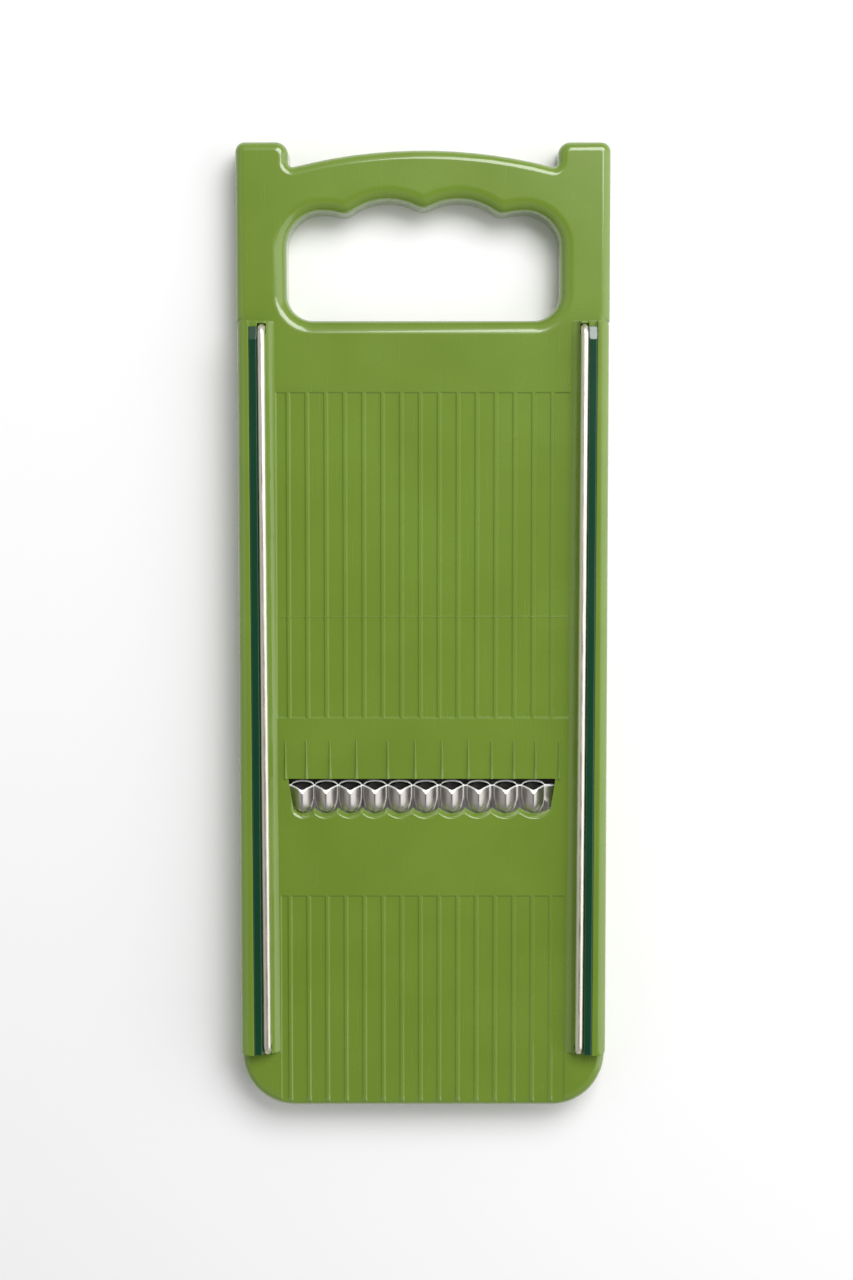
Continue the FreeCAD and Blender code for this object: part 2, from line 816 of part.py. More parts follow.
def make_inlay(name, side):
    """A dark strip let into the rail, with a ramp at its head end."""
    body = new_body(name)
    gap = size("fit_gap")
    run = size("shoulder_place") - size("rail_foot_place")
    top = size("deck_height") + size("rail_height") + size("inlay_proud")
    floor = size("deck_height") + size("rail_height") - size("inlay_depth") + gap
    # The YZ plane: across the sketch is Y, up the sketch is Z.
    profile = [
        (-run + size("inlay_foot_inset"), floor),
        (-size("inlay_head_inset"), floor),
        (-size("inlay_head_inset"), floor + size("inlay_ramp_rise")),
        (-size("inlay_head_inset") - size("inlay_ramp"), top),
        (-run + size("inlay_foot_inset"), top),
    ]
    half = size("inlay_width") / 2 - gap
    sketch = outline_sketch(body, f"{name}_profile", [profile], -half, "YZ_Plane")
    extrude(body, "Pad", f"{name}_strip", sketch, half * 2)
    top_height = top.value

    def long_top(edge):
        box = edge.BoundBox
        return box.ZMin > top_height - 0.01 and box.YLength > 50

    round_edges(body, f"{name}_edges", size("inlay_edge_radius"), long_top)
    middle = size("rail_land") + size("inlay_width") / 2
    place_in_rail(body, side, middle, size("inlay_drift"))
    return body


def make_guide_wire(name, side):
    """A steel wire along the rail's inner edge, both ends bent down into the rail."""
    body = new_body(name)
    radius = size("wire_diameter") / 2
    height = size("deck_height") + size("rail_height") + size("wire_stand") - radius
    run = size("shoulder_place") - size("rail_foot_place")
    head = -size("wire_head_inset") - radius
    foot = size("wire_foot_inset") + radius - run
    bend = size("wire_bend")
    low = size("wire_leg_foot")
    path = new_sketch(body, f"{name}_path", "YZ_Plane")
    turn = math.sqrt(0.5)
    head_centre = Vector((head - bend).value, (height - bend).value, 0)
    foot_centre = Vector((foot + bend).value, (height - bend).value, 0)
    reach = bend.value

    def spot(along, up):
        return Vector(along.value, up.value, 0)

    def bend_arc(centre, side_y):
        level = centre + Vector(0, reach, 0)
        middle = centre + Vector(side_y * reach * turn, reach * turn, 0)
        upright = centre + Vector(side_y * reach, 0, 0)
        return Part.Arc(upright, middle, level)

    path.addGeometry(Part.LineSegment(spot(head, low), spot(head, height - bend)))
    path.addGeometry(bend_arc(head_centre, 1))
    path.addGeometry(Part.LineSegment(spot(head - bend, height), spot(foot + bend, height)))
    path.addGeometry(bend_arc(foot_centre, -1))
    path.addGeometry(Part.LineSegment(spot(foot, height - bend), spot(foot, low)))
    wanted = []
    for index, vertex, along, up in (
        (0, 1, head, low),
        (0, 2, head, height - bend),
        (2, 1, head - bend, height),
        (2, 2, foot + bend, height),
        (4, 1, foot, height - bend),
        (4, 2, foot, low),
    ):
        wanted.append(pinned("DistanceX", index, vertex, along))
        wanted.append(pinned("DistanceY", index, vertex, up))
    constrain(path, wanted)
    join_arcs(path)
    section = new_sketch(body, f"{name}_section", "XY_Plane", low)
    constrain(section, draw_circle(section, 0.0, head, size("wire_diameter")))
    pipe = body.newObject("PartDesign::AdditivePipe", f"{name}_rod")
    pipe.Profile = section
    pipe.Spine = path
    doc.recompute()
    middle = size("rail_land") + size("inlay_width") + size("wire_diameter") / 2 + size("fit_gap")
    place_in_rail(body, side, middle, size("wire_drift"))
    return body


def join_arcs(path):
    """Close each bend onto the straight stretches beside it."""
    joints = []
    for arc in (1, 3):
        for vertex in (1, 2):
            here = path.getPoint(arc, vertex)
            for line in (0, 2, 4):
                for end in (1, 2):
                    if path.getPoint(line, end).distanceToPoint(here) < 1e-6:
                        joints.append(Sketcher.Constraint("Coincident", arc, vertex, line, end))
    path.addConstraint(joints)


def strip_level():
    """The height of the upper strip's lower face."""
    roof = size("deck_height").value - size("deck_wall").value + size("blade_seat").value
    return roof - size("strip_gauge").value - size("fit_gap").value


def tooth_form(gauge):
    """The bullet-shaped solid that a tooth's outer face follows, or its inner face, one gauge inside.

    It runs back along -Y from the mouth: straight for a third, then a quarter of an ellipse.
    """
    radius = size("tooth_radius").value - gauge
    length = size("tooth_mouth").value - size("tooth_end").value
    straight = length * size("tooth_straight").value
    shoulder = Vector(0, -straight, radius)
    tip = Vector(0, gauge - length, 0)
    quarter = Part.Ellipse(tip, shoulder, Vector(0, -straight, 0))
    edges = [
        Part.makeLine(Vector(0, 2.0, 0), Vector(0, 2.0, radius)),
        Part.makeLine(Vector(0, 2.0, radius), shoulder),
        Part.Arc(quarter, quarter.parameter(tip), quarter.parameter(shoulder)).toShape(),
        Part.makeLine(tip, Vector(0, 2.0, 0)),
    ]
    face = Part.Face(Part.Wire(Part.sortEdges(edges)[0]))
    return face.revolve(Vector(0, 0, 0), Vector(0, 1, 0), 360)


def mouth_trim():
    """The block in front of a tooth's slanting mouth."""
    block = Part.makeBox(40, 40, 40, Vector(-20, 0, -20))
    lean = Rotation(Vector(1, 0, 0), size("tooth_lean").value)
    block.Placement = Placement(Vector(0, 0, 0), lean)
    return block


def make_upper_tooth_strip():
    """A flat steel strip with ten pressed teeth, each open at its slanting mouth and below."""
    gauge = size("strip_gauge").value
    level = strip_level()
    foot = size("strip_foot").value
    length = size("strip_length").value
    mouth = size("tooth_mouth").value
    plate = Part.makeBox(length, mouth - foot, gauge, Vector(-length / 2, foot, level))
    outer = tooth_form(0.0)
    inner = tooth_form(gauge)
    above = Part.makeBox(40, 40, 20, Vector(-20, -20, 0))
    arch = outer.common(above).cut(mouth_trim())
    shape = plate
    for tooth in tooth_places():
        seat = Vector(tooth.value, mouth, level)
        shape = shape.fuse(arch.translated(seat))
    for tooth in tooth_places():
        seat = Vector(tooth.value, mouth, level)
        shape = shape.cut(inner.translated(seat))
    feature = doc.addObject("Part::Feature", "upper_tooth_strip")
    feature.Label = "upper_tooth_strip"
    feature.Shape = shape.removeSplitter()
    return feature


def make_lower_tooth_strip():
    """A narrow strip of ten troughs: their front lips reach out below the teeth's mouths."""
    gauge = size("strip_gauge").value
    radius = size("tooth_radius").value
    level = strip_level() - size("fit_gap").value
    length = size("strip_length").value
    mouth = size("tooth_mouth").value
    lip = size("lip_length").value
    plate = Part.makeBox(length, lip, gauge, Vector(-length / 2, mouth - lip, level - gauge))
    outer = Part.makeCylinder(radius, lip + 2.0, Vector(0, -lip, 0), Vector(0, 1, 0))
    inner = Part.makeCylinder(radius - gauge, lip + 4.0, Vector(0, -lip - 1.0, 0), Vector(0, 1, 0))
    below = Part.makeBox(40, 40, 20, Vector(-20, -20, -20))
    flatten = FreeCAD.Matrix()
    flatten.scale(1.0, 1.0, size("trough_flatness").value)
    trough = outer.common(below).cut(mouth_trim()).transformGeometry(flatten)
    hollow = inner.common(below).transformGeometry(flatten)
    shape = plate
    for tooth in tooth_places():
        shape = shape.fuse(trough.translated(Vector(tooth.value, mouth, level)))
    for tooth in tooth_places():
        shape = shape.cut(hollow.translated(Vector(tooth.value, mouth, level)))
    feature = doc.addObject("Part::Feature", "lower_tooth_strip")
    feature.Label = "lower_tooth_strip"
    feature.Shape = shape.removeSplitter()
    return feature


def make_clamp_bar():
    """The frame-shaped bar that holds the strips up against the deck, open below the teeth."""
    body = new_body("blade_clamp_bar")
    half = size("bar_length") / 2
    window = size("bar_window_half")
    bottom = size("bar_top") - size("bar_height")
    outer = rectangle(-half, size("bar_foot"), half, size("bar_head"))
    opening = rectangle(-window, size("bar_window_foot"), window, size("bar_window_head"))
    add_block(body, "bar", [outer, opening], bottom, size("bar_height"))
    corners = upright_at((half, size("bar_foot")), (half, size("bar_head")))
    round_edges(body, "bar_corners", size("bar_corner_radius"), corners)
    strip_half = size("strip_length") / 2
    ridge = rectangle(-strip_half, size("strip_foot"), strip_half, size("bar_ridge_head"))
    rise = as_size(strip_level()) - size("fit_gap") - size("bar_top")
    add_block(body, "strip_ridge", [ridge], size("bar_top") - size("bite"), rise + size("bite"))
    holes = new_sketch(body, "bar_holes_sketch", offset=bottom)
    wanted = []
    for x, y in screw_places():
        wanted += draw_circle(holes, x, y, size("screw_diameter") + size("screw_clearance"))
    constrain(holes, wanted)
    extrude(body, "Pocket", "bar_holes", holes, size("bar_height"), reverse=True)
    return body


def make_clamp_screws():
    """Four pan-head screws, driven up from below."""
    body = doc.addObject("Part::Feature", "clamp_screws")
    body.Label = "clamp_screws"
    bottom = size("bar_top").value - size("bar_height").value
    head_height = size("screw_head_height").value
    head_radius = size("screw_head_diameter").value / 2
    roof = size("deck_height").value - size("deck_wall").value
    tip = roof + size("screw_reach").value - size("screw_clearance").value
    seat = bottom - size("fit_gap").value
    shank = size("screw_diameter").value / 2
    profile = [
        (0, bottom - head_height),
        (head_radius * 0.7, bottom - head_height),
        (head_radius, bottom - head_height * 0.45),
        (head_radius, seat),
        (shank, seat),
        (shank, tip - shank),
        (0, tip),
    ]
    spots = [Vector(out, 0, up) for out, up in profile]
    wire = Part.makePolygon(spots + spots[:1])
    screw = Part.Face(wire).revolve(Vector(0, 0, 0), Vector(0, 0, 1), 360)
    skim = size("skim").value
    recess = size("screw_recess").value + skim
    width = size("screw_slot_width").value
    length = head_radius * 1.1
    corner = Vector(-length / 2, -width / 2, bottom - head_height - skim)
    for turn in (0, 90):
        blade = Part.makeBox(length, width, recess, corner)
        blade.rotate(Vector(0, 0, 0), Vector(0, 0, 1), turn)
        screw = screw.cut(blade)
    places = [Vector(x.value, y.value, 0) for x, y in screw_places()]
    body.Shape = Part.makeCompound([screw.translated(place) for place in places])
    return body


def make_parts():
    parts = [make_board()]
    for hand, side in (("left", -1), ("right", 1)):
        parts.append(make_inlay(f"{hand}_rail_inlay", side))
        parts.append(make_guide_wire(f"{hand}_guide_wire", side))
    parts.append(make_upper_tooth_strip())
    parts.append(make_lower_tooth_strip())
    parts.append(make_clamp_bar())
    parts.append(make_clamp_screws())
    return parts


def check_and_write(parts):
    """Stop if any object failed, then write each sub-part's shape to its own file."""
    doc.recompute()
    for item in doc.Objects:
        if "Invalid" in item.State or "Error" in item.State:
            raise RuntimeError(f"{item.Label} failed")
    os.makedirs("parts", exist_ok=True)
    for part in parts:
        if part.Shape.isNull() or not part.Shape.isValid():
            raise RuntimeError(f"{part.Label} has no valid shape")
        part.Shape.exportStep(f"parts/{part.Label}.step")


fill_sheet()
check_and_write(make_parts())
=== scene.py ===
"""A mandoline slicer lying face up: its pieces, their finishes and a plain studio around them."""

import math

import bpy
from bpy.props import FloatProperty, FloatVectorProperty, IntProperty, PointerProperty
from bpy.types import Operator, Panel, PropertyGroup
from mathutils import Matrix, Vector


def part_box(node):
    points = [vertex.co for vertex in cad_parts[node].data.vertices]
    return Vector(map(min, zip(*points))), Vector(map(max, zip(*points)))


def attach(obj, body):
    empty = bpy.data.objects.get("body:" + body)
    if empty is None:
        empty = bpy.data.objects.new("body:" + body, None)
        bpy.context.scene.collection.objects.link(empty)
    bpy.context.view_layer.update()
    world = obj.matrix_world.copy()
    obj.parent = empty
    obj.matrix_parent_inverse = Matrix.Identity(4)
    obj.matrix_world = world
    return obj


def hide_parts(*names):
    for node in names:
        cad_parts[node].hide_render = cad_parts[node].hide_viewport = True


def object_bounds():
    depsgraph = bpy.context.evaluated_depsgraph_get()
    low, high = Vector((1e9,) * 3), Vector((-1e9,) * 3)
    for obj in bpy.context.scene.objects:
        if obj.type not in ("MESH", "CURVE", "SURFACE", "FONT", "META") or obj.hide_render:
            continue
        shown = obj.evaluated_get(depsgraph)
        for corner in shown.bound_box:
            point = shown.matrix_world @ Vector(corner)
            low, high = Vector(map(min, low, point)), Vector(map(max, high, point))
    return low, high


bl_info = {
    "name": "Mandoline slicer",
    "version": (1, 0, 0),
    "blender": (4, 5, 0),
    "location": "3D View > Sidebar > Slicer",
    "description": "Builds the pieces and finishes of a flat mandoline slicer around its fixed frame",
    "category": "Object",
}

HANDS = {"left": -1, "right": 1}

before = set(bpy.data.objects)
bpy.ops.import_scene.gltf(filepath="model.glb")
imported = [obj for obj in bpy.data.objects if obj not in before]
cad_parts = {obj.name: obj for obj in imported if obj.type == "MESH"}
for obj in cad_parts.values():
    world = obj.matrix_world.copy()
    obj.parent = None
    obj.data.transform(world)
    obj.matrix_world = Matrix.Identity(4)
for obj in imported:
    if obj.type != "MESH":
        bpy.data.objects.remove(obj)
cad_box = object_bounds()


# ---------------------------------------------------------------- settings


def length(name, description, default):
    return FloatProperty(name=name, description=description, default=default, unit="LENGTH", precision=5)


def place(name, description, default):
    return FloatVectorProperty(name=name, description=description, default=default, subtype="XYZ")


def power(name, description, default):
    return FloatProperty(name=name, description=description, default=default, unit="POWER")


def angle(name, description, degrees):
    return FloatProperty(name=name, description=description, default=math.radians(degrees), subtype="ANGLE")


def ratio(name, description, default):
    return FloatProperty(name=name, description=description, default=default, min=0.0, max=1.0)


def colour(name, description, default):
    return FloatVectorProperty(
        name=name, description=description, default=default, subtype="COLOR", size=3, min=0.0, max=1.0
    )


class SlicerSizes(PropertyGroup):
    """Sizes of the pieces that are shaped here."""

    wire_diameter: length("Wire diameter", "Thickness of the two guide wires", 0.0025)
    wire_bend: length("Wire bend", "Bend radius at both ends of a guide wire", 0.002)
    tooth_count: IntProperty(name="Teeth", description="Number of pressed teeth", default=10, min=2)
    tooth_pitch: length("Tooth pitch", "Mean distance between neighbouring teeth", 0.00827)
    row_middle: length("Row middle", "Where the middle of the tooth row stands", -0.0017)
    row_bow: length("Row bow", "How far the middle teeth stand to one side", 0.0016)
    tooth_half_width: length("Tooth half width", "Half the width of a tooth at its mouth", 0.00355)
    steel_gauge: length("Steel gauge", "Thickness of the pressed strips", 0.0006)
    mouth_place: length("Mouth place", "Where the feet of the teeth's mouths stand", -0.0498)
    tooth_length: length("Tooth length", "From a tooth's mouth to its closed end", 0.0089)
    tooth_straight: ratio("Straight part", "Share of a tooth before it starts to taper", 0.3)
    end_roundness: FloatProperty(name="End roundness", description="How blunt a tooth's end is", default=2.5)
    flank_power: FloatProperty(
        name="Flank power", description="1 is a sharp gable, 2 a round arch", default=1.45
    )
    mouth_lean: angle("Mouth lean", "How far a tooth's mouth leans back", 26.0)
    ground_depth: length("Ground depth", "How much of a tooth's crest is ground away at its tip", 0.00055)
    ground_slope: ratio("Ground slope", "Rise of the ground facet along the tooth", 0.42)
    ground_edge: length("Ground edge", "Width of the bright ground edge", 0.00034)
    lip_depth: length("Lip depth", "How deep the lower lips hang", 0.0015)
    lip_reach: length("Lip reach", "How far a lower lip reaches out", 0.0013)
    lip_ramp: length("Lip ramp", "How far behind its bright edge a lip reaches its full depth", 0.0006)
    fine_edge: length("Fine edge", "Edge radius on the ribs and fins", 0.0002)
    broad_edge: length("Broad edge", "Edge radius on the rails, the head and behind the teeth", 0.0005)
    rail_inner_edge: length("Rail inner edge", "Where the rails start, from the middle line", 0.0466)
    head_start: length("Head start", "Where the handle head starts", 0.0980)
    slot_rear: length("Slot rear", "Where the recess behind the teeth ends", -0.0565)
    lower_ribs_start: length("Lower ribs start", "Where the ribs below the teeth start", -0.0700)


class SlicerColours(PropertyGroup):
    """Colours of the pieces, as the light meets them."""

    plastic: colour("Plastic", "Body of the slicer", (0.155, 0.250, 0.026))
    # Painted highlight: a lighter green that the edge mask mixes onto the plastic's edges, where light catches
    # them.
    plastic_edge_highlight: colour("Plastic edge", "Handled edges of the plastic", (0.260, 0.390, 0.085))
    inlay: colour("Inlay", "Dark strips in the rails", (0.006, 0.050, 0.022))
    wire: colour("Wire", "Guide wires", (0.82, 0.79, 0.68))
    tooth: colour("Tooth", "Pressed tooth steel", (0.56, 0.53, 0.50))
    # Partly painted highlight: the ground edges are real, and their near-white, part-metallic colour also
    # paints the glint on them.
    ground: colour("Ground edge", "Freshly ground tooth edges", (0.93, 0.93, 0.92))
    # Painted shade: a darkened copy of the tooth steel that stands for the shade inside the troughs under the
    # teeth.
    trough: colour("Trough", "Steel inside the troughs below the teeth", (0.10, 0.095, 0.09))
    screw: colour("Screw", "Plated screws", (0.60, 0.60, 0.58))
    floor: colour("Floor", "The pale surface below", (0.93, 0.918, 0.93))


class SlicerStudio(PropertyGroup):
    """The camera and the lights."""

    camera_distance: length("Camera distance", "From the camera to the point it looks at", 0.75)
    camera_tilt: angle("Camera tilt", "How far the camera leans towards the handle", 4.2)
    camera_aim_x: length("Aim across", "Where the camera looks, across the slicer", 0.0011)
    camera_aim_y: length("Aim along", "Where the camera looks, along the slicer", -0.0028)
    lens: FloatProperty(name="Lens", description="Focal length in millimetres", default=65.92)
    sensor: FloatProperty(name="Sensor", description="Sensor height in millimetres", default=36.0)
    floor_size: length("Floor size", "Side of the square floor", 6.0)
    key_power: power("Key power", "Power of the large lamp", 12.0)
    key_place: place("Key place", "From the slicer's middle to the large lamp", (0.34, 0.64, 1.0))
    left_place: place("Left place", "From the slicer's middle to the left lamp", (-0.80, 0.0, 0.40))
    right_place: place("Right place", "From the slicer's middle to the right lamp", (0.80, -0.05, 0.40))
    key_size: length("Key size", "Side of the large lamp", 0.7)
    left_power: power("Left power", "Power of the left lamp", 0.8)
    right_power: power("Right power", "Power of the right lamp", 4.6)
    fill_size: length("Fill size", "Side of each side lamp", 1.1)
    sky: FloatProperty(name="Sky", description="Brightness of the white surroundings", default=0.36)
    card_height: length("Card height", "How high the dark card hangs above the slicer", 1.6)
    card_size: length("Card size", "Side of the dark card", 1.5)


# ---------------------------------------------------------------- shared shader effects


def new_group(name, inputs, outputs):
    """An empty shader node group. Inputs are (name, type, default) and outputs (name, type)."""
    group = bpy.data.node_groups.new(name, "ShaderNodeTree")
    for socket_name, kind, default in inputs:
        socket = group.interface.new_socket(socket_name, in_out="INPUT", socket_type=kind)
        if default is not None:
            socket.default_value = default
    for socket_name, kind in outputs:
        group.interface.new_socket(socket_name, in_out="OUTPUT", socket_type=kind)
    return group, group.nodes.new("NodeGroupInput"), group.nodes.new("NodeGroupOutput")


def math_node(tree, operation, first, second=None):
    """A Math node fed by sockets or numbers. Returns its output."""
    node = tree.nodes.new("ShaderNodeMath")
    node.operation = operation
    for socket, source in zip(node.inputs, (first, second)):
        if source is None:
            continue
        if isinstance(source, bpy.types.NodeSocket):
            tree.links.new(source, socket)
        else:
            socket.default_value = source
    return node.outputs[0]


def map_range(tree, value, low, high, out_low=0.0, out_high=1.0):
    node = tree.nodes.new("ShaderNodeMapRange")
    tree.links.new(value, node.inputs["Value"])
    limits = (("From Min", low), ("From Max", high), ("To Min", out_low), ("To Max", out_high))
    for socket, limit in limits:
        node.inputs[socket].default_value = limit
    return node.outputs["Result"]


def surface_position(tree, stretch=(1.0, 1.0, 1.0)):
    """The object's own coordinates, in metres, squeezed along some axes."""
    where = tree.nodes.new("ShaderNodeTexCoord")
    mapping = tree.nodes.new("ShaderNodeMapping")
    mapping.inputs["Scale"].default_value = stretch
    tree.links.new(where.outputs["Object"], mapping.inputs["Vector"])
    return mapping.outputs["Vector"]


def noise(tree, position, scale, detail=2.0, roughness=0.5):
    """A noise texture's value. The scale is a socket or a number, in spots a metre."""
    node = tree.nodes.new("ShaderNodeTexNoise")
    tree.links.new(position, node.inputs["Vector"])
    if isinstance(scale, bpy.types.NodeSocket):
        tree.links.new(scale, node.inputs["Scale"])
    else:
        node.inputs["Scale"].default_value = scale
    node.inputs["Detail"].default_value = detail
    node.inputs["Roughness"].default_value = roughness
    return node.outputs["Fac"]


def build_mould_grain():
    """Moulded skin: a fine orange peel over slow waves. Height is in grain depths."""
    tree, given, result = new_group(
        "mould_grain",
        [("Peel Scale", "NodeSocketFloat", 900.0), ("Wave Scale", "NodeSocketFloat", 45.0)],
        [("Height", "NodeSocketFloat"), ("Cloud", "NodeSocketFloat")],
    )
    position = surface_position(tree)
    peel = noise(tree, position, given.outputs["Peel Scale"], 3.0)
    wave = noise(tree, position, given.outputs["Wave Scale"], 2.0)
    deep_wave = math_node(tree, "MULTIPLY", wave, 2.5)
    tree.links.new(math_node(tree, "ADD", peel, deep_wave), result.inputs["Height"])
    tree.links.new(map_range(tree, wave, 0.3, 0.7), result.inputs["Cloud"])
    return tree


def build_edge_round_highlight():
    """Mask of sharp edges, broken up by noise, and the normal that rounds them. The mask paints a highlight
    colour on the edges.
    """
    tree, given, result = new_group(
        "edge_round_highlight",
        [("Radius", "NodeSocketFloat", 0.0004), ("Amount", "NodeSocketFloat", 1.0)],
        [("Mask", "NodeSocketFloat"), ("Normal", "NodeSocketVector")],
    )
    bevel = tree.nodes.new("ShaderNodeBevel")
    bevel.samples = 6
    tree.links.new(given.outputs["Radius"], bevel.inputs["Radius"])
    geometry = tree.nodes.new("ShaderNodeNewGeometry")
    facing = tree.nodes.new("ShaderNodeVectorMath")
    facing.operation = "DOT_PRODUCT"
    tree.links.new(bevel.outputs["Normal"], facing.inputs[0])
    tree.links.new(geometry.outputs["Normal"], facing.inputs[1])
    bend = map_range(tree, facing.outputs["Value"], 0.995, 0.80)
    broken = map_range(tree, noise(tree, surface_position(tree), 260.0, 3.0), 0.35, 0.65, 0.35, 1.0)
    mask = math_node(tree, "MULTIPLY", math_node(tree, "MULTIPLY", bend, broken), given.outputs["Amount"])
    tree.links.new(mask, result.inputs["Mask"])
    tree.links.new(bevel.outputs["Normal"], result.inputs["Normal"])
    return tree


def build_fine_scratches():
    """Hairline scratches that run roughly along the slicer, in patches."""
    tree, given, result = new_group(
        "fine_scratches",
        [("Density", "NodeSocketFloat", 1500.0), ("Amount", "NodeSocketFloat", 1.0)],
        [("Mask", "NodeSocketFloat")],
    )
    along = noise(tree, surface_position(tree, (1.0, 0.035, 1.0)), given.outputs["Density"], 1.0)
    lines = map_range(tree, along, 0.66, 0.72)
    patches = map_range(tree, noise(tree, surface_position(tree), 55.0, 2.0), 0.45, 0.62)
    mask = math_node(tree, "MULTIPLY", math_node(tree, "MULTIPLY", lines, patches), given.outputs["Amount"])
    tree.links.new(mask, result.inputs["Mask"])
    return tree


def build_rolled_grain():
    """The long fine grain of drawn or rolled steel, along the slicer."""
    tree, given, result = new_group(
        "rolled_grain",
        [("Across", "NodeSocketFloat", 5200.0), ("Depth", "NodeSocketFloat", 1.0)],
        [("Height", "NodeSocketFloat"), ("Tone", "NodeSocketFloat")],
    )
    grain = noise(tree, surface_position(tree, (1.0, 0.05, 1.0)), given.outputs["Across"], 2.0, 0.6)
    tree.links.new(math_node(tree, "MULTIPLY", grain, given.outputs["Depth"]), result.inputs["Height"])
    tree.links.new(map_range(tree, grain, 0.3, 0.7), result.inputs["Tone"])
    return tree


EFFECTS = {
    "mould_grain": build_mould_grain,
    "edge_round_highlight": build_edge_round_highlight,
    "fine_scratches": build_fine_scratches,
    "rolled_grain": build_rolled_grain,
}


def effect(tree, name, **values):
    """Place a shared effect in a material, building it the first time it is asked for."""
    group = bpy.data.node_groups.get(name) or EFFECTS[name]()
    node = tree.nodes.new("ShaderNodeGroup")
    node.node_tree = group
    for socket, value in values.items():
        node.inputs[socket.replace("_", " ").title()].default_value = value
    return node


# ---------------------------------------------------------------- materials


def new_material(name):
    """An empty material with a Principled BSDF. Returns the material, its tree and the shader."""
    material = bpy.data.materials.new(name)
    material.use_nodes = True
    return material, material.node_tree, material.node_tree.nodes["Principled BSDF"]


def mixed_colour(tree, mask, first, second):
    """Goes from the first colour to the second with the mask. Either may be a socket."""
    node = tree.nodes.new("ShaderNodeMix")
    node.data_type = "RGBA"
    tree.links.new(mask, node.inputs["Factor"])
    for socket, source in ((node.inputs["A"], first), (node.inputs["B"], second)):
        if isinstance(source, bpy.types.NodeSocket):
            tree.links.new(source, socket)
        else:
            socket.default_value = (*source, 1.0)
    return node.outputs["Result"]


def add_bump(tree, shader, height, depth, strength=1.0, normal=None):
    """Feed a height through a Bump node. The depth is in metres."""
    bump = tree.nodes.new("ShaderNodeBump")
    bump.inputs["Distance"].default_value = depth
    bump.inputs["Strength"].default_value = strength
    tree.links.new(height, bump.inputs["Height"])
    if normal is not None:
        tree.links.new(normal, bump.inputs["Normal"])
    tree.links.new(bump.outputs["Normal"], shader.inputs["Normal"])


def rounding_radius(tree, sizes):
    """Edge radius over the slicer: fine on ribs and fins, broad on rails, on the head and behind the teeth."""
    axes = tree.nodes.new("ShaderNodeSeparateXYZ")
    tree.links.new(surface_position(tree), axes.inputs["Vector"])
    along = axes.outputs["Y"]
    beside = math_node(tree, "ABSOLUTE", axes.outputs["X"])
    on_rail = math_node(tree, "GREATER_THAN", beside, sizes.rail_inner_edge)
    on_head = math_node(tree, "GREATER_THAN", along, sizes.head_start)
    below_fins = math_node(tree, "LESS_THAN", along, sizes.slot_rear)
    above_ribs = math_node(tree, "GREATER_THAN", along, sizes.lower_ribs_start)
    behind_teeth = math_node(tree, "MULTIPLY", below_fins, above_ribs)
    broad = math_node(tree, "MAXIMUM", math_node(tree, "MAXIMUM", on_rail, on_head), behind_teeth)
    return map_range(tree, broad, 0.0, 1.0, sizes.fine_edge, sizes.broad_edge)


def shaded(base, amount):
    """The colour made darker, or lighter above 1."""
    return tuple(min(1.0, channel * amount) for channel in base)


def make_plastic(name, base, edge, roughness, coat):
    """Glossy moulded plastic with a fine peel, rounded edges with a painted highlight colour, and faint
    scratches.
    """
    material, tree, shader = new_material(name)
    grain = effect(tree, "mould_grain")
    edge_shape_highlight = effect(tree, "edge_round_highlight", Amount=0.5)
    tree.links.new(rounding_radius(tree, bpy.context.scene.slicer_sizes), edge_shape_highlight.inputs["Radius"])
    scratch = effect(tree, "fine_scratches", Amount=0.2)
    clouded = mixed_colour(tree, grain.outputs["Cloud"], shaded(base, 0.96), shaded(base, 1.04))
    # Painted highlight: a lighter green is mixed in along the edges.
    edge_highlighted = mixed_colour(tree, edge_shape_highlight.outputs["Mask"], clouded, edge)
    tree.links.new(edge_highlighted, shader.inputs["Base Color"])
    dull = map_range(tree, grain.outputs["Cloud"], 0.0, 1.0, roughness * 0.92, roughness * 1.08)
    scuffed = math_node(tree, "MULTIPLY", scratch.outputs["Mask"], 0.25)
    tree.links.new(math_node(tree, "ADD", dull, scuffed), shader.inputs["Roughness"])
    shader.inputs["Coat Weight"].default_value = coat
    shader.inputs["Coat Roughness"].default_value = 0.05
    shader.inputs["IOR"].default_value = 1.5
    add_bump(tree, shader, grain.outputs["Height"], 0.000012, 0.6, edge_shape_highlight.outputs["Normal"])
    return material


def make_steel(name, base, roughness, grain_depth, across, metallic=1.0):
    """Rolled or drawn steel with a long fine grain. A ground face is given a lower metallic value and a
    near-white colour, which partly paints the glint on its edge.
    """
    material, tree, shader = new_material(name)
    grain = effect(tree, "rolled_grain", Across=across)
    scratch = effect(tree, "fine_scratches", Density=2600.0, Amount=0.5)
    toned = mixed_colour(tree, grain.outputs["Tone"], shaded(base, 0.9), shaded(base, 1.06))
    tree.links.new(toned, shader.inputs["Base Color"])
    dull = map_range(tree, grain.outputs["Tone"], 0.0, 1.0, roughness * 0.8, roughness * 1.2)
    scuffed = math_node(tree, "MULTIPLY", scratch.outputs["Mask"], 0.2)
    tree.links.new(math_node(tree, "ADD", dull, scuffed), shader.inputs["Roughness"])
    shader.inputs["Metallic"].default_value = metallic
    add_bump(tree, shader, grain.outputs["Height"], grain_depth, 0.4)
    return material


def make_floor_material(base):
    material, tree, shader = new_material("studio_floor")
    shader.inputs["Base Color"].default_value = (*base, 1.0)
    shader.inputs["Roughness"].default_value = 0.85
    shader.inputs["Specular IOR Level"].default_value = 0.2
    return material


